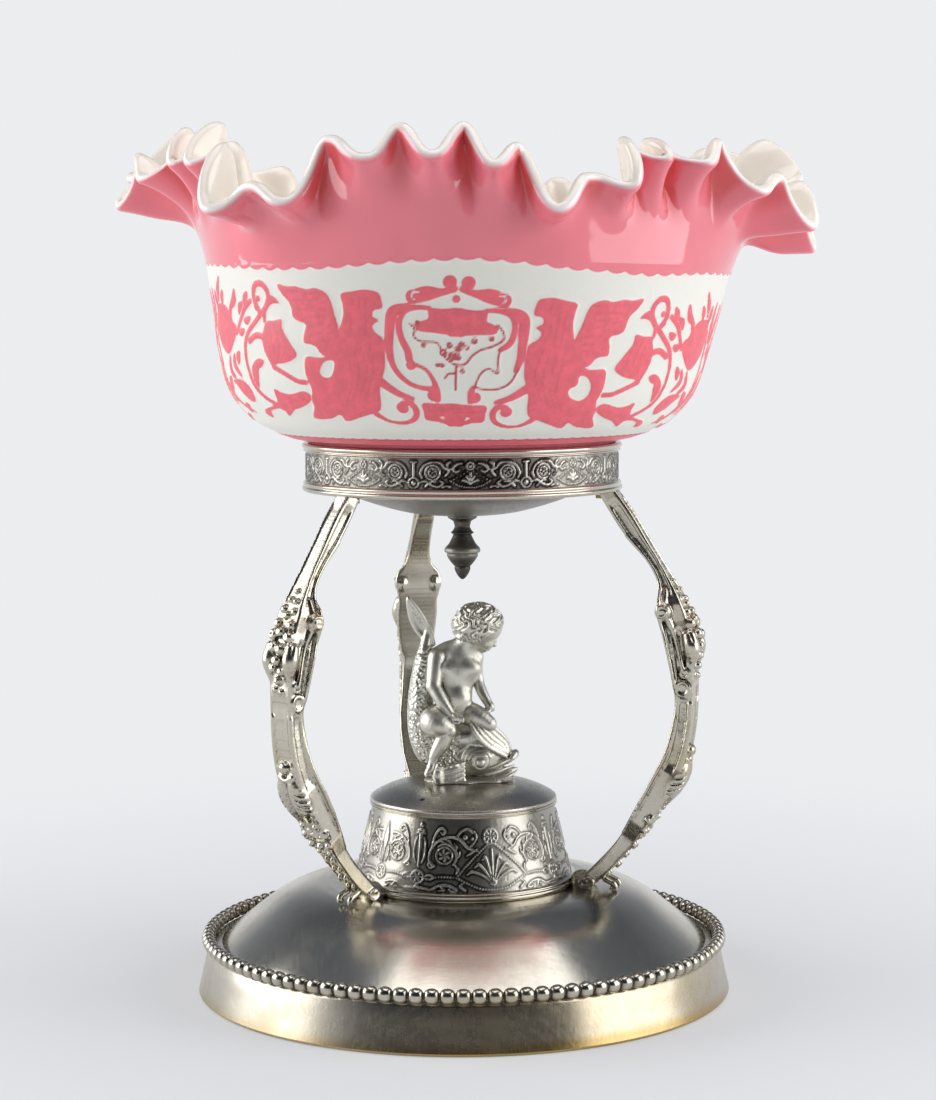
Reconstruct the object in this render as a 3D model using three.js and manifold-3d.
// Brides basket: a ruffled cased-glass bowl resting in a silver-plated stand with a beaded foot, a drum that
// carries a putto riding a dolphin, three scrolled legs and a chased collar with a drop finial.
// Millimetres, +Z up. The origin is the centre of the foot on the table, and the viewer stands at -Y.
import * as THREE from "three";
import { mergeVertices } from "three/addons/utils/BufferGeometryUtils.js";
import Module from "manifold-3d";

const wasm = await Module();
wasm.setup();

// Sizes shared by several pieces
const fitGap = 0.3;
const sheetThickness = 1.2;
const cutOverrun = 2;
const roundSteps = 36;
const smallSteps = 12;
const nutSides = 6;

// Foot: a flared skirt with a ledge, a row of beads and a spun dome
const footRadius = 96;
const footRimWidth = 2.8;
const footRimHeight = 1.8;
const skirtFlare = 3.6;
const skirtHeight = 16.9;
const skirtSheet = 1.5;
const ledgeShelf = 1.9;
const beadHeight = 5.4;
const beadDepth = 4.8;
const beadSpacing = 5.3;
const beadOverhang = 0.2;
const beadSeatGap = 0.05;
const beadWaistShare = 0.62;
const beadSides = 5;
const domeFlangeWidth = 2.2;
const domeRise = 22.1;
const crownMargin = 1.2;
const footEdgeShare = 0.8;
// Outside of the skirt from the table up: [share of the flare past the top radius, share of the height]
const skirtFlareShares = [[1.04, 0.12], [0.67, 0.43], [0.36, 0.68], [0.14, 0.91]];
// Top of the dome from its flange to its crown: [share of the way out from the crown, share of the rise]
const domeOutlineShares = [[0.93, 0.12], [0.73, 0.42], [0.5, 0.73], [0.3, 0.9], [0.14, 0.975]];

// Drum: a tapered chased wall between two mouldings, with a domed cap
const drumBaseRadius = 39.3;
const drumTopRadius = 33.2;
const drumHeight = 30;
const drumBaseMouldingHeight = 3.4;
const drumTopMouldingHeight = 1.6;
const drumBaseMouldingReach = 1.3;
const drumTopMouldingReach = 0.7;
const drumMouldingWidth = 2.6;
const capRise = 6.6;
const capOverhang = 0.6;
const capSeatWidth = 1.7;
const capEdgeShare = 0.14;
// Top of the cap from its edge to the figure's flat seat: [share of the radius, share of the rise]
const capOutlineShares = [[0.9, 0.35], [0.7, 0.8], [0.48, 1]];

// Bolt that holds the figure, the drum and the foot together
const rodRadius = 2.4;
const rodDepthInFigure = 4.6;
const washerRadius = 8;
const washerThickness = 1.4;
const nutAcrossFlats = 8;
const nutThickness = 3.4;
const rodTail = 1;

// Figure: a putto riding a dolphin. Places are shares of the figure's height, from the middle of the cap's top.
const figureHeight = 66;
const plinthWidth = 31;
const plinthDepth = 21;
const plinthHeight = 1.6;
const figureFacets = 8;
const tubeEndShare = 0.7;
// Each chain is a run of swellings: [right, back, up, radius], all as shares of the height
const dolphinBodyShares = [
  [0.1, -0.06, 0.14, 0.125], [-0.03, -0.03, 0.1, 0.11], [-0.17, 0, 0.1, 0.085], [-0.245, 0.01, 0.2, 0.08],
  [-0.265, 0.02, 0.35, 0.068], [-0.25, 0.02, 0.5, 0.056], [-0.225, 0.02, 0.66, 0.042], [-0.2, 0.02, 0.79, 0.03],
  [-0.235, 0.02, 0.91, 0.022], [-0.275, 0.02, 0.985, 0.013],
];
const dolphinFlukeShares = [[-0.235, 0.02, 0.91, 0.02], [-0.185, 0.02, 0.85, 0.03], [-0.15, 0.02, 0.76, 0.02]];
const dolphinSnoutShares = [[0.12, -0.07, 0.15, 0.1], [0.2, -0.08, 0.12, 0.05], [0.275, -0.08, 0.14, 0.018]];
const dolphinLipShares = [[0.1, -0.07, 0.08, 0.08], [0.2, -0.08, 0.05, 0.04], [0.265, -0.08, 0.065, 0.018]];
const dolphinFinShares = [[0, -0.1, 0.09, 0.05], [-0.1, -0.14, 0.08, 0.04], [-0.19, -0.15, 0.07, 0.03]];
const dolphinBrowShares = [[0.115, -0.02, 0.21, 0.07], [0.12, 0.01, 0.3, 0.045]];
const puttoTorsoShares = [
  [-0.05, -0.02, 0.36, 0.088], [-0.03, -0.03, 0.46, 0.072], [-0.035, -0.03, 0.58, 0.085], [0.02, -0.02, 0.68, 0.062],
  [0.045, -0.02, 0.74, 0.04], [0.06, -0.025, 0.78, 0.045],
];
const puttoHeadShares = [[0.07, -0.03, 0.82, 0.1], [0.085, -0.035, 0.9, 0.115]];
const puttoRightArmShares = [
  [-0.08, -0.03, 0.66, 0.05], [-0.15, -0.04, 0.67, 0.042], [-0.185, -0.08, 0.53, 0.034], [-0.04, -0.15, 0.38, 0.027],
];
const puttoLeftArmShares = [
  [0.03, -0.02, 0.66, 0.05], [0.08, -0.01, 0.64, 0.042], [0.115, -0.01, 0.53, 0.032], [0.155, -0.03, 0.41, 0.03],
];
const puttoRightLegShares = [
  [-0.13, -0.07, 0.34, 0.08], [-0.045, -0.15, 0.31, 0.058], [-0.12, -0.17, 0.2, 0.042], [-0.17, -0.18, 0.13, 0.03],
];
const puttoLeftLegShares = [[0, -0.02, 0.34, 0.075], [0.12, 0.02, 0.36, 0.055], [0.19, 0.06, 0.27, 0.04]];

// Legs: three hollow-backed castings that bow out between the foot and the tray
const legAngles = { right: 343.5, back: 103.5, left: 223.5 };
const legRise = 143.4;
const legBow = 38;
const legWidth = 18;
const legPadDepth = 4.8;
const legPadWidth = 6.4;
const legPadHeight = 5.6;
const legScrollRadius = 3.3;
const legScrollWidth = 9.5;
const legFlowerRadius = 4.9;
const legFlowerDepth = 4.4;
const legFlowerPetals = 5;
const petalNotchShare = 0.72;
const flowerFaceShare = 0.62;
// Stations from the tray down: [inner bow, inner height, outer bow, outer height, width], as shares of the
// leg's bow, its rise and its width. The bow is counted from the straight line between the leg's two ends.
const legStationShares = [
  [-0.04, 0.984, 0.05, 0.984, 0.36], [0.05, 0.943, 0.17, 0.966, 0.38], [0.25, 0.876, 0.38, 0.9, 0.42],
  [0.42, 0.818, 0.55, 0.828, 0.52], [0.53, 0.768, 0.66, 0.772, 0.76], [0.58, 0.71, 0.8, 0.716, 1],
  [0.62, 0.672, 0.87, 0.672, 0.75], [0.66, 0.634, 0.91, 0.638, 0.88], [0.72, 0.585, 0.96, 0.585, 0.78],
  [0.76, 0.535, 0.96, 0.533, 0.62], [0.8, 0.467, 0.97, 0.474, 0.66], [0.77, 0.404, 0.97, 0.401, 0.78],
  [0.71, 0.335, 0.92, 0.322, 0.86], [0.62, 0.282, 0.81, 0.257, 0.92], [0.48, 0.207, 0.66, 0.177, 0.94],
  [0.33, 0.129, 0.47, 0.106, 0.68], [0.17, 0.071, 0.28, 0.043, 0.54], [0.04, 0.045, 0.1, 0.008, 0.5],
];
// Section of the leg: [across the width, from the hollow back to the front], as shares
const legSectionShares = [
  [-0.5, 0], [-0.22, 0.2], [0.22, 0.2], [0.5, 0], [0.5, 0.42], [0.26, 0.9], [0, 1], [-0.26, 0.9], [-0.5, 0.42],
];
// Flower heads on the front of a leg: [bow, height], as shares
const legFlowerShares = [[0.945, 0.645], [0.97, 0.56], [0.7, 0.19]];

// Screws that hold the legs
const screwRadius = 1.2;
const screwHeadRadius = 2.2;
const screwHeadHeight = 1.5;
const screwDepth = 3.6;
const screwTipGap = 0.4;

// Tray and collar that hold the bowl
const collarRadius = 56.2;
const collarSheet = 1;
const collarHeight = 10.4;
const collarMouldingReach = 1.1;
const collarTopMouldingHeight = 3;
const collarBottomMouldingHeight = 3.7;
const trayLipWidth = 2;
const trayLipHeight = 1.2;
const trayLedgeWidth = 10.2;
const traySheet = 1.4;
const trayDepth = 10.6;
// Underside of the tray from its ledge to its middle: [share of the ledge's inner radius, share of the depth]
const trayOutlineShares = [[0.82, 0.45], [0.48, 0.85], [0.14, 1]];
// A moulding's rounded outside from its bottom up: [share of its reach, share of its height]
const mouldingShares = [[0.55, 0], [1, 0.25], [1, 0.7], [0.4, 1]];

// Drop finial under the tray
const finialStudRadius = 1.2;
const finialStudTail = 0.8;
const finialNutAcrossFlats = 5.5;
const finialNutThickness = 2.4;
const finialSpoolHeight = 6.9;
const finialSpoolRadius = 5.2;
const finialBellHeight = 11.5;
const finialBellRadius = 6.4;
const finialTipHeight = 4.7;
const finialTipRadius = 2.9;
const finialBoreDepth = 1.8;
// Outlines from the top down: [share of the radius, share of the height]
const finialSpoolShares = [[1, 0], [1, 0.13], [0.6, 0.35], [0.52, 0.6], [0.75, 0.9], [0.64, 1]];
const finialBellShares = [[0.5, 0], [0.8, 0.32], [1, 0.46], [1, 0.56], [0.77, 0.72], [0.44, 1]];
const finialTipShares = [[0.93, 0], [1, 0.17], [0.6, 0.8]];

// Glass bowl
const glassThickness = 3;
const bowlSeatWidth = 2;
const bowlRadius = 92;
const bowlWallHeight = 76;
const bowlCollarGap = 0.7;
const bowlShoulderGap = 0.3;
const bowlShoulderOverhang = 0.6;
const rimReach = 126.9;
const rimRise = 48.7;
const ruffleRings = 3;
const ruffleTurnShare = 0.01;
// Outside of the bowl inside the collar: [share of the way out from its foot, share of the collar's height]
const bowlSeatShares = [[0.26, 0.15], [0.84, 0.57]];
// Outside of the bowl above the collar: [share of the way out from the shoulder, share of the height]
const bowlWallShares = [[0.27, 0.058], [0.48, 0.14], [0.66, 0.27], [0.8, 0.45], [0.92, 0.78]];
// How the wall turns out into the rim: [share of the way out, share of the way up] of the curve's two handles
const ruffleHandleShares = [[0.03, 0.5], [0.3, 0.85]];
// Folds of the rim, outward and inward in turn: [azimuth in degrees, share of the reach, share of the rise]
const rimFoldShares = [
  [173, 1, 0.49], [177.5, 0.905, 0.835], [184, 0.893, 0.68], [189.5, 0.764, 0.995], [195.5, 0.812, 0.76],
  [201, 0.7, 1.01], [208, 0.809, 0.74], [213.5, 0.757, 0.835], [222, 0.879, 0.41], [228.5, 0.83, 0.545],
  [236, 0.831, 0.445], [243, 0.744, 0.84], [252, 0.796, 0.72], [258.3, 0.764, 0.915], [263.9, 0.816, 0.73],
  [269.8, 0.749, 0.925], [272.4, 0.82, 0.66], [281.3, 0.764, 0.785], [285.3, 0.835, 0.385], [295.5, 0.78, 0.585],
  [301.5, 0.827, 0.53], [305.5, 0.709, 0.855], [310.5, 0.805, 0.71], [315, 0.682, 0.86], [320, 0.82, 0.71],
  [328.5, 0.804, 0.85], [332.5, 0.883, 0.54], [342, 0.906, 0.64], [354, 0.98, 0.125], [361.5, 0.93, 0.5],
  [368, 0.985, 0.68], [374, 0.89, 0.94], [380.5, 0.95, 0.78], [387, 0.8, 0.9], [394, 0.86, 0.68], [401, 0.76, 0.72],
  [408, 0.83, 0.5], [414, 0.77, 0.6], [420, 0.83, 0.52], [427, 0.75, 0.72], [433.5, 0.8, 0.66], [440, 0.745, 0.8],
  [447, 0.8, 0.72], [453.5, 0.75, 0.85], [460, 0.815, 0.7], [467, 0.765, 0.74], [473.5, 0.835, 0.5],
  [480, 0.78, 0.66], [486.5, 0.85, 0.52], [493, 0.79, 0.8], [500, 0.86, 0.76], [507, 0.81, 0.98],
  [513, 0.9, 0.84], [519, 0.87, 1.02], [525.5, 0.985, 0.72], [529.5, 0.93, 0.7],
];

// Places that follow from the sizes
const skirtTopRadius = footRadius - skirtFlare;
const beadRingRadius = skirtTopRadius + beadOverhang;
const domeRadius = beadRingRadius - beadDepth / 2 - fitGap;
const domeSpringRadius = domeRadius - domeFlangeWidth;
const crownZ = skirtHeight + domeRise;
const legFootReach = drumBaseRadius + drumBaseMouldingReach + legScrollRadius + 2 * fitGap;
const crownRadius = legFootReach + legScrollRadius + crownMargin;
const drumTopZ = crownZ + drumHeight;
const capTopZ = drumTopZ + capRise;
const trayZ = crownZ + legRise;
const collarInnerRadius = collarRadius - collarSheet;
const trayLipRadius = collarInnerRadius - trayLipWidth;
const trayLedgeRadius = trayLipRadius - trayLedgeWidth;
const trayMiddleZ = trayZ - trayDepth;
const collarBottomZ = trayZ - trayLipHeight;
const collarBandBottomZ = collarBottomZ + collarBottomMouldingHeight;
const collarBandTopZ = collarBandBottomZ + collarHeight;
const collarTopZ = collarBandTopZ + collarTopMouldingHeight;
const legPadReach = trayLipRadius - fitGap - legPadDepth / 2;
const legTopReach = trayLipRadius + 2 * fitGap;
const bowlZ = trayZ + traySheet;
const rodHoleRadius = rodRadius + fitGap;
const screwHoleRadius = screwRadius + fitGap;
const finialHoleRadius = finialStudRadius + fitGap;

// Finishes
const silver = new THREE.MeshStandardMaterial({ color: 0xc9c5bb, roughness: 0.24, metalness: 1 });
const satinSilver = new THREE.MeshStandardMaterial({ color: 0xb9b7b1, roughness: 0.38, metalness: 1 });
const wornSilver = new THREE.MeshStandardMaterial({ color: 0xb3a37c, roughness: 0.28, metalness: 1 });
const chasedSilver = new THREE.MeshStandardMaterial({ color: 0xa5a199, roughness: 0.42, metalness: 1 });
const brass = new THREE.MeshStandardMaterial({ color: 0x9c8450, roughness: 0.4, metalness: 1 });
const casedGlass = new THREE.MeshStandardMaterial({ color: 0xe08a99, roughness: 0.12, metalness: 0 });

// A closed solid for cutting and joining, from any closed three.js geometry
function solidOf(geometry) {
  const plain = geometry.clone();
  plain.deleteAttribute("normal");
  plain.deleteAttribute("uv");
  const merged = mergeVertices(plain);
  const vertProperties = new Float32Array(merged.attributes.position.array);
  const triVerts = new Uint32Array(merged.index.array);
  return new wasm.Manifold(new wasm.Mesh({ numProp: 3, vertProperties, triVerts }));
}

function geometryOf(solid) {
  const mesh = solid.getMesh();
  const geometry = new THREE.BufferGeometry();
  geometry.setAttribute("position", new THREE.BufferAttribute(mesh.vertProperties, mesh.numProp));
  geometry.setIndex(new THREE.BufferAttribute(mesh.triVerts, 1));
  geometry.computeVertexNormals();
  return geometry;
}

// A turned piece from its [radius, height] outline, which runs anticlockwise: out along the bottom, up the
// outside and back in along the top. An outline that starts off the axis is closed on itself.
function turned(outline, steps = roundSteps) {
  const points = outline.map(([r, z]) => new THREE.Vector2(r, z));
  if (outline[0][0] > 0) points.push(points[0].clone());
  return new THREE.LatheGeometry(points, steps).rotateX(Math.PI / 2);
}

// A round bar from one height to another, standing at a reach from the axis
function bar(radius, bottom, top, reach = 0, steps = smallSteps) {
  const geometry = new THREE.CylinderGeometry(radius, radius, top - bottom, steps);
  return geometry.rotateX(Math.PI / 2).translate(reach, 0, (bottom + top) / 2);
}

// A block under or over a height, wide enough to trim a piece there
function trimBlock(width, bottom, top) {
  return solidOf(new THREE.BoxGeometry(width, width, top - bottom).translate(0, 0, (bottom + top) / 2));
}

// A skin over rings of points. Neighbouring rings have equal counts, or one is a multiple of the other, and a
// ring of one point closes an end. A looped skin joins its last ring to its first.
function skin(rings, looped = false) {
  const positions = rings.flat().flatMap((p) => [p.x, p.y, p.z]);
  const starts = [];
  rings.reduce((start, ring) => {
    starts.push(start);
    return start + ring.length;
  }, 0);
  const index = [];
  const pairs = looped ? rings.length : rings.length - 1;
  for (let i = 0; i < pairs; i++) {
    const next = (i + 1) % rings.length;
    bridge(index, starts[i], rings[i].length, starts[next], rings[next].length);
  }
  const geometry = new THREE.BufferGeometry();
  geometry.setAttribute("position", new THREE.Float32BufferAttribute(positions, 3));
  geometry.setIndex(facesOutward(rings.flat(), index) ? index : index.reverse());
  geometry.computeVertexNormals();
  return geometry;
}

function bridge(index, lowStart, lowCount, highStart, highCount) {
  const steps = Math.max(lowCount, highCount);
  for (let k = 0; k < steps; k++) {
    const [low, lowNext] = [k, k + 1].map((s) => lowStart + (Math.floor((s * lowCount) / steps) % lowCount));
    const [high, highNext] = [k, k + 1].map((s) => highStart + (Math.floor((s * highCount) / steps) % highCount));
    if (low !== lowNext) index.push(low, lowNext, highNext);
    if (high !== highNext) index.push(low, highNext, high);
  }
}

function facesOutward(points, index) {
  let volume = 0;
  for (let i = 0; i < index.length; i += 3) {
    const [a, b, c] = [points[index[i]], points[index[i + 1]], points[index[i + 2]]];
    volume += a.dot(b.clone().cross(c));
  }
  return volume > 0;
}

// A rounded tube through a chain of swellings given as shares of the figure's height, grown all round
function swollenTube(chainShares, growth = 0) {
  const centres = chainShares.map(([x, y, z]) => new THREE.Vector3(x, y, z).multiplyScalar(figureHeight));
  const radii = chainShares.map((share) => share[3] * figureHeight + growth);
  centres.forEach((centre) => centre.setZ(centre.z + capTopZ));
  const last = centres.length - 1;
  const back = new THREE.Vector3(0, 1, 0);
  const ring = (centre, along, radius) => {
    const side = back.clone().addScaledVector(along, -back.dot(along)).normalize();
    const across = along.clone().cross(side);
    return Array.from({ length: figureFacets }, (_, k) => {
      const turn = (2 * Math.PI * k) / figureFacets;
      return centre
        .clone()
        .addScaledVector(side, radius * Math.cos(turn))
        .addScaledVector(across, radius * Math.sin(turn));
    });
  };
  const along = centres.map((_, i) =>
    centres[Math.min(i + 1, last)].clone().sub(centres[Math.max(i - 1, 0)]).normalize(),
  );
  const rings = centres.map((centre, i) => ring(centre, along[i], radii[i]));
  const endRing = (i, way) => {
    const inset = tubeEndShare * radii[i];
    const shoulder = centres[i].clone().addScaledVector(along[i], way * inset);
    return [ring(shoulder, along[i], inset), [centres[i].clone().addScaledVector(along[i], way * radii[i])]];
  };
  return skin([...endRing(0, -1).reverse(), ...rings, ...endRing(last, 1)]);
}

// Foot
function footSkirt() {
  const flare = (share) => skirtTopRadius + share * skirtFlare;
  const outside = skirtFlareShares.map(([out, up]) => [flare(out), up * skirtHeight]);
  const inside = outside.slice(1).map(([r, z]) => [r - skirtSheet, z]).reverse();
  const ledgeRadius = domeSpringRadius - ledgeShelf;
  const rimInside = footRadius - footRimWidth;
  return turned([
    [rimInside, 0],
    [rimInside + footEdgeShare * footRimWidth, 0],
    ...outside,
    [skirtTopRadius, skirtHeight],
    [ledgeRadius, skirtHeight],
    [ledgeRadius, skirtHeight - skirtSheet],
    ...inside,
    [rimInside, footRimHeight],
  ]);
}

function footDome() {
  const outline = domeOutlineShares.map(([out, up]) => [
    crownRadius + out * (domeSpringRadius - crownRadius),
    skirtHeight + sheetThickness + up * (domeRise - sheetThickness),
  ]);
  const underside = [[crownRadius, crownZ], ...outline.slice().reverse()].map(([r, z]) => [r, z - sheetThickness]);
  const shell = turned([
    [rodHoleRadius, crownZ - sheetThickness],
    ...underside,
    [domeSpringRadius - sheetThickness, skirtHeight],
    [domeRadius, skirtHeight],
    [domeRadius, skirtHeight + sheetThickness],
    [domeSpringRadius, skirtHeight + sheetThickness],
    ...outline,
    [crownRadius, crownZ],
    [rodHoleRadius, crownZ],
  ]);
  return drilled(shell, legFootReach, crownZ - sheetThickness, crownZ);
}

// Screw holes under the three legs, through a plate between two heights
function drilled(shell, reach, bottom, top) {
  let solid = solidOf(shell);
  for (const azimuth of Object.values(legAngles)) {
    const hole = bar(screwHoleRadius, bottom - cutOverrun, top + cutOverrun, reach);
    solid = solid.subtract(solidOf(hole.rotateZ(THREE.MathUtils.degToRad(azimuth))));
  }
  return geometryOf(solid);
}

// A row of beads on one wire. Each bead has a flat side down, on the ledge, and a corner up.
function beadRing() {
  const beads = Math.round((2 * Math.PI * beadRingRadius) / beadSpacing);
  const middleZ = skirtHeight + beadSeatGap + (Math.cos(Math.PI / beadSides) * beadHeight) / 2;
  const rings = Array.from({ length: 2 * beads }, (_, k) => {
    const swell = k % 2 === 0 ? 1 : beadWaistShare;
    const azimuth = (Math.PI * k) / beads;
    return Array.from({ length: beadSides }, (_, side) => {
      const turn = Math.PI / 2 + (2 * Math.PI * side) / beadSides;
      const reach = beadRingRadius + (swell * beadDepth * Math.cos(turn)) / 2;
      const z = middleZ + (swell * beadHeight * Math.sin(turn)) / 2;
      return new THREE.Vector3(reach * Math.cos(azimuth), reach * Math.sin(azimuth), z);
    });
  });
  return skin(rings, true);
}

// Drum
function moulding(innerRadius, wallRadius, reach, bottom, height) {
  const outside = mouldingShares.map(([out, up]) => [wallRadius + out * reach, bottom + up * height]);
  return turned([[innerRadius, bottom], ...outside, [innerRadius, bottom + height]]);
}

function drumWall() {
  const bottom = crownZ + drumBaseMouldingHeight;
  const top = drumTopZ - drumTopMouldingHeight;
  return turned([
    [drumBaseRadius - sheetThickness, bottom],
    [drumBaseRadius, bottom],
    [drumTopRadius, top],
    [drumTopRadius - sheetThickness, top],
  ]);
}

function drumCap() {
  const radius = drumTopRadius + capOverhang;
  const outline = capOutlineShares.map(([out, up]) => [out * radius, drumTopZ + up * capRise]);
  const underside = outline.slice().reverse().map(([r, z]) => [r, z - sheetThickness]);
  return turned([
    [rodHoleRadius, capTopZ - sheetThickness],
    ...underside,
    [radius - capSeatWidth, drumTopZ],
    [radius, drumTopZ],
    [radius, drumTopZ + capEdgeShare * capRise],
    ...outline,
    [rodHoleRadius, capTopZ],
  ]);
}

// Bolt through the drum
function hexNut(acrossFlats, holeRadius, bottom, thickness) {
  const cornerRadius = acrossFlats / 2 / Math.cos(Math.PI / nutSides);
  const corners = Array.from({ length: nutSides }, (_, k) => {
    const turn = (2 * Math.PI * k) / nutSides;
    return new THREE.Vector2(cornerRadius * Math.cos(turn), cornerRadius * Math.sin(turn));
  });
  const shape = new THREE.Shape(corners);
  shape.holes.push(new THREE.Path().absarc(0, 0, holeRadius, 0, 2 * Math.PI, true));
  const settings = { depth: thickness, bevelEnabled: false, curveSegments: smallSteps / 2 };
  return new THREE.ExtrudeGeometry(shape, settings).translate(0, 0, bottom);
}

function flatWasher(bottom) {
  const top = bottom + washerThickness;
  return turned([
    [rodHoleRadius, bottom], [washerRadius, bottom], [washerRadius, top], [rodHoleRadius, top],
  ], smallSteps);
}

// Figure
function dolphinSolid(growth = 0) {
  const chains = [
    dolphinBodyShares, dolphinFlukeShares, dolphinSnoutShares, dolphinLipShares, dolphinFinShares, dolphinBrowShares,
  ];
  return chains.map((chain) => solidOf(swollenTube(chain, growth))).reduce((whole, limb) => whole.add(limb));
}

function dolphin() {
  const plinth = new THREE.CylinderGeometry(plinthWidth / 2, plinthWidth / 2, plinthHeight, 2 * smallSteps)
    .rotateX(Math.PI / 2)
    .scale(1, plinthDepth / plinthWidth, 1)
    .translate(0, 0, capTopZ + plinthHeight / 2);
  const floor = trimBlock(2 * figureHeight, capTopZ - figureHeight, capTopZ);
  const rodHole = solidOf(bar(rodHoleRadius, capTopZ - cutOverrun, capTopZ + rodDepthInFigure + screwTipGap));
  return geometryOf(dolphinSolid().add(solidOf(plinth)).subtract(floor).subtract(rodHole));
}

// The putto is cut where it sits on the dolphin, with a fitting gap all round
function putto() {
  const chains = [
    puttoTorsoShares, puttoHeadShares, puttoRightArmShares, puttoLeftArmShares, puttoRightLegShares,
    puttoLeftLegShares,
  ];
  const whole = chains.map((chain) => solidOf(swollenTube(chain))).reduce((joined, limb) => joined.add(limb));
  const parts = whole.subtract(dolphinSolid(fitGap)).decompose();
  return geometryOf(parts.reduce((largest, part) => (part.volume() > largest.volume() ? part : largest)));
}

// Legs, each built in the plane of azimuth 0
function legPoint(bowShare, heightShare) {
  const chord = legFootReach + (legTopReach - legFootReach) * heightShare;
  return new THREE.Vector3(chord + bowShare * legBow, 0, crownZ + heightShare * legRise);
}

function legStrap() {
  const rings = legStationShares.map(([innerBow, innerHeight, outerBow, outerHeight, width]) => {
    const inner = legPoint(innerBow, innerHeight);
    const outer = legPoint(outerBow, outerHeight);
    return legSectionShares.map(([across, out]) =>
      inner.clone().lerp(outer, out).setY(across * width * legWidth),
    );
  });
  const middle = (ring) => [ring.reduce((sum, p) => sum.add(p), new THREE.Vector3()).divideScalar(ring.length)];
  return skin([middle(rings[0]), ...rings, middle(rings[rings.length - 1])]);
}

// A flower head faces away from the leg: a petalled back, a smaller face in front of it and a raised middle
function legFlower(bowShare, heightShare) {
  const centre = legPoint(bowShare, heightShare);
  const petalled = (size, out) => Array.from({ length: 2 * legFlowerPetals }, (_, k) => {
    const turn = (Math.PI * k) / legFlowerPetals;
    const reach = size * (k % 2 === 0 ? 1 : petalNotchShare);
    return new THREE.Vector3(out, reach * Math.cos(turn), reach * Math.sin(turn)).add(centre);
  });
  const onAxis = (out) => [new THREE.Vector3(out, 0, 0).add(centre)];
  const half = legFlowerDepth / 2;
  return skin([
    onAxis(-half), petalled(legFlowerRadius, 0), petalled(flowerFaceShare * legFlowerRadius, half * flowerFaceShare),
    onAxis(half),
  ]);
}

function leg() {
  const pad = new THREE.BoxGeometry(legPadDepth, legPadWidth, legPadHeight).translate(
    legPadReach, 0, trayZ - legPadHeight / 2,
  );
  const scroll = new THREE.CylinderGeometry(legScrollRadius, legScrollRadius, legScrollWidth, smallSteps).translate(
    legFootReach, 0, crownZ + legScrollRadius,
  );
  let solid = solidOf(legStrap()).add(solidOf(pad)).add(solidOf(scroll));
  for (const [bow, height] of legFlowerShares) solid = solid.add(solidOf(legFlower(bow, height)));
  const holeDepth = screwDepth + screwTipGap;
  return geometryOf(
    solid
      .subtract(trimBlock(4 * footRadius, crownZ - legRise, crownZ))
      .subtract(solidOf(bar(screwHoleRadius, trayZ - holeDepth, trayZ + cutOverrun, legPadReach)))
      .subtract(solidOf(bar(screwHoleRadius, crownZ - cutOverrun, crownZ + holeDepth, legFootReach))),
  );
}

// A screw from the outline of its head and shank. Its head lies on the plate away from the leg.
function screw(headZ, way) {
  const outline = [
    [0, -way * screwHeadHeight],
    [screwHeadRadius, -way * screwHeadHeight],
    [screwHeadRadius, 0],
    [screwRadius, 0],
    [screwRadius, way * (screwDepth + (way > 0 ? sheetThickness : traySheet))],
    [0, way * (screwDepth + (way > 0 ? sheetThickness : traySheet))],
  ].map(([r, z]) => [r, headZ + z]);
  return turned(way > 0 ? outline : outline.reverse(), smallSteps);
}

// Tray, collar and finial
function trayPan() {
  const dished = trayOutlineShares.map(([out, down]) => [out * trayLedgeRadius, trayZ - down * trayDepth]).reverse();
  const underside = [
    [finialHoleRadius, trayMiddleZ], ...dished, [trayLedgeRadius, trayZ], [collarInnerRadius - fitGap, trayZ],
  ];
  const topside = underside.map(([r, z]) => [r, z + traySheet]).reverse();
  return drilled(turned([...underside, ...topside]), legPadReach, trayZ, trayZ + traySheet);
}

function collarBand() {
  return turned([
    [collarInnerRadius, collarBandBottomZ],
    [collarRadius, collarBandBottomZ],
    [collarRadius, collarBandTopZ],
    [collarInnerRadius, collarBandTopZ],
  ]);
}

// The bottom moulding has a lip inside that the tray rests on
function collarBottomMoulding() {
  const outside = mouldingShares.map(([out, up]) => [
    collarRadius + out * collarMouldingReach,
    collarBottomZ + up * collarBottomMouldingHeight,
  ]);
  return turned([
    [trayLipRadius, collarBottomZ],
    ...outside,
    [collarInnerRadius, collarBandBottomZ],
    [collarInnerRadius, trayZ],
    [trayLipRadius, trayZ],
  ]);
}

function finialDrop(shares, radius, top, height) {
  const outside = shares.map(([out, down]) => [out * radius, top - down * height]).reverse();
  return turned([[finialHoleRadius, top - height], ...outside, [finialHoleRadius, top]], smallSteps);
}

function finialTip(top) {
  const bottomUp = finialTipShares.slice().reverse();
  const outside = bottomUp.map(([out, down]) => [out * finialTipRadius, top - down * finialTipHeight]);
  return turned([
    [0, top - finialTipHeight], ...outside, [finialHoleRadius, top], [finialHoleRadius, top - finialBoreDepth],
    [0, top - finialBoreDepth],
  ], smallSteps);
}

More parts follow.
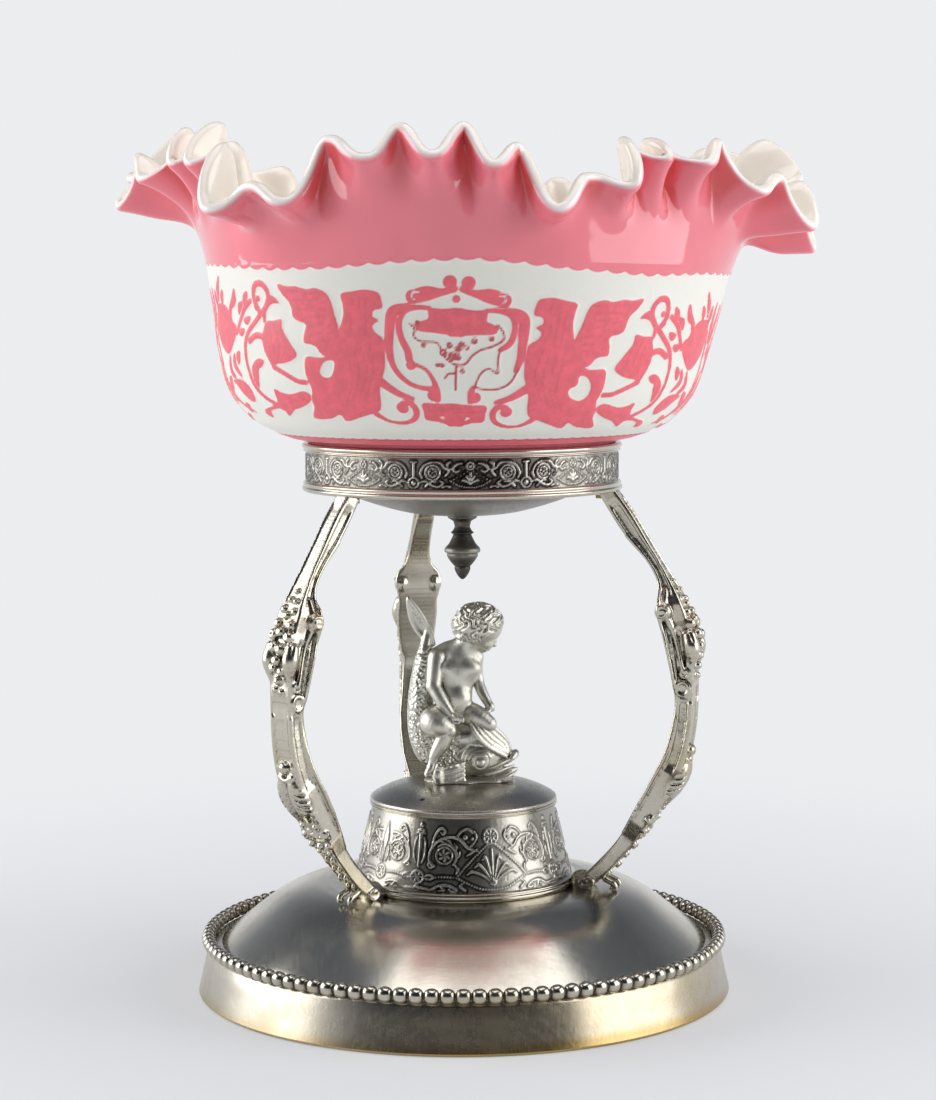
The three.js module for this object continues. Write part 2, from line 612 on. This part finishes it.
// Glass bowl
// Outside of the bowl from the middle of its foot to the neck under the ruffle
function bowlOutside() {
  const footRadiusOfBowl = trayLedgeRadius + bowlSeatWidth;
  const throatRadius = collarInnerRadius - bowlCollarGap;
  const shoulderRadius = collarRadius + collarMouldingReach + bowlShoulderOverhang;
  const shoulderZ = collarTopZ + bowlShoulderGap + bowlCollarGap;
  const neckRadius = bowlRadius + glassThickness / 2;
  const neckZ = bowlZ + bowlWallHeight;
  const seat = bowlSeatShares.map(([out, up]) => [
    footRadiusOfBowl + out * (throatRadius - footRadiusOfBowl),
    bowlZ + up * (collarTopZ - bowlZ),
  ]);
  const wall = bowlWallShares.map(([out, up]) => [
    shoulderRadius + out * (neckRadius - shoulderRadius),
    shoulderZ + up * (neckZ - shoulderZ),
  ]);
  return [
    [footRadiusOfBowl, bowlZ], ...seat, [throatRadius, collarTopZ + bowlShoulderGap], [shoulderRadius, shoulderZ],
    ...wall, [neckRadius, neckZ],
  ];
}

// The outline moved inwards by the thickness of the glass
function insideOf(outline) {
  return outline.map(([r, z], i) => {
    const [r0, z0] = outline[Math.max(i - 1, 0)];
    const [r1, z1] = outline[Math.min(i + 1, outline.length - 1)];
    const run = Math.hypot(r1 - r0, z1 - z0);
    return [r - (glassThickness * (z1 - z0)) / run, z + (glassThickness * (r1 - r0)) / run];
  });
}

// Middle of the glass in the ruffle, between the neck (0) and the edge (1), at a column's fold
function ruffleMiddle([azimuth, reachShare, riseShare], t) {
  const out = reachShare * rimReach - bowlRadius;
  const up = riseShare * rimRise;
  const curve = new THREE.CubicBezierCurve(
    new THREE.Vector2(0, 0),
    ...ruffleHandleShares.map(([outShare, upShare]) => new THREE.Vector2(outShare * out, upShare * up)),
    new THREE.Vector2(out, up),
  );
  const at = curve.getPoint(t);
  const angle = THREE.MathUtils.degToRad(azimuth);
  const reach = bowlRadius + at.x;
  return new THREE.Vector3(reach * Math.cos(angle), reach * Math.sin(angle), bowlZ + bowlWallHeight + at.y);
}

function glassBowl() {
  const folds = rimFoldShares;
  const columns = folds.flatMap((fold, i) => {
    const next = i + 1 < folds.length ? folds[i + 1] : [folds[0][0] + 360, folds[0][1], folds[0][2]];
    return [fold, fold.map((value, k) => (value + next[k]) / 2)];
  });
  const circle = ([r, z]) => folds.map(([azimuth]) => {
    const angle = THREE.MathUtils.degToRad(azimuth);
    return new THREE.Vector3(r * Math.cos(angle), r * Math.sin(angle), z);
  });
  const ruffleRing = (t, side) => columns.map((column, j) => {
    const around = ruffleMiddle(columns[(j + 1) % columns.length], t)
      .sub(ruffleMiddle(columns[(j + columns.length - 1) % columns.length], t));
    const up = ruffleMiddle(column, Math.min(t + ruffleTurnShare, 1)).sub(ruffleMiddle(column, t - ruffleTurnShare));
    const outward = around.cross(up).normalize();
    return ruffleMiddle(column, t).addScaledVector(outward, (side * glassThickness) / 2);
  });
  const heights = Array.from({ length: ruffleRings }, (_, k) => (k + 1) / ruffleRings);
  const outside = bowlOutside();
  const inside = insideOf(outside).slice(1).reverse();
  return skin([
    [new THREE.Vector3(0, 0, bowlZ)],
    ...outside.map(circle),
    ...heights.map((t) => ruffleRing(t, 1)),
    ...heights.slice().reverse().map((t) => ruffleRing(t, -1)),
    ...inside.map(circle),
    [new THREE.Vector3(0, 0, bowlZ + glassThickness)],
  ]);
}

// Assembly
const basket = new THREE.Group();

function place(name, geometry, material, parent = basket) {
  const mesh = new THREE.Mesh(geometry, material.clone());
  mesh.name = name;
  parent.add(mesh);
}

place("foot_skirt", footSkirt(), wornSilver);
place("foot_dome", footDome(), silver);
place("bead_ring", beadRing(), silver);

const drumMouldingInside = drumBaseRadius - drumMouldingWidth;
place("drum_base_moulding", moulding(
  drumMouldingInside, drumBaseRadius, drumBaseMouldingReach, crownZ, drumBaseMouldingHeight,
), silver);
place("drum_wall", drumWall(), chasedSilver);
place("drum_top_moulding", moulding(
  drumTopRadius - drumMouldingWidth, drumTopRadius, drumTopMouldingReach,
  drumTopZ - drumTopMouldingHeight, drumTopMouldingHeight,
), silver);
place("drum_cap", drumCap(), satinSilver);

const washerBottom = crownZ - sheetThickness - washerThickness;
const nutBottom = washerBottom - nutThickness;
place("tie_rod", bar(rodRadius, nutBottom - rodTail, capTopZ + rodDepthInFigure), brass);
place("tie_rod_washer", flatWasher(washerBottom), brass);
place("tie_rod_nut", hexNut(nutAcrossFlats, rodHoleRadius, nutBottom, nutThickness), brass);
place("dolphin", dolphin(), satinSilver);
place("putto", putto(), satinSilver);

for (const [side, azimuth] of Object.entries(legAngles)) {
  const turnedLeg = new THREE.Group();
  turnedLeg.rotation.z = THREE.MathUtils.degToRad(azimuth);
  place("leg_" + side, leg(), silver, turnedLeg);
  place("foot_screw_" + side, screw(crownZ - sheetThickness, 1).translate(legFootReach, 0, 0), brass, turnedLeg);
  place("tray_screw_" + side, screw(trayZ + traySheet, -1).translate(legPadReach, 0, 0), brass, turnedLeg);
  basket.add(turnedLeg);
}

place("collar_bottom_moulding", collarBottomMoulding(), silver);
place("collar_band", collarBand(), chasedSilver);
place("collar_top_moulding", moulding(
  collarInnerRadius, collarRadius, collarMouldingReach, collarBandTopZ, collarTopMouldingHeight,
), silver);
place("tray_pan", trayPan(), satinSilver);

const bellTop = trayMiddleZ - finialSpoolHeight;
const tipTop = bellTop - finialBellHeight;
const finialNutBottom = trayMiddleZ + traySheet;
const studTop = finialNutBottom + finialNutThickness + finialStudTail;
place("finial_spool", finialDrop(finialSpoolShares, finialSpoolRadius, trayMiddleZ, finialSpoolHeight), satinSilver);
place("finial_bell", finialDrop(finialBellShares, finialBellRadius, bellTop, finialBellHeight), satinSilver);
place("finial_tip", finialTip(tipTop), satinSilver);
place("finial_stud", bar(finialStudRadius, tipTop - finialBoreDepth + fitGap, studTop), brass);
place("finial_nut", hexNut(finialNutAcrossFlats, finialHoleRadius, finialNutBottom, finialNutThickness), brass);

place("glass_bowl", glassBowl(), casedGlass);

export default basket;
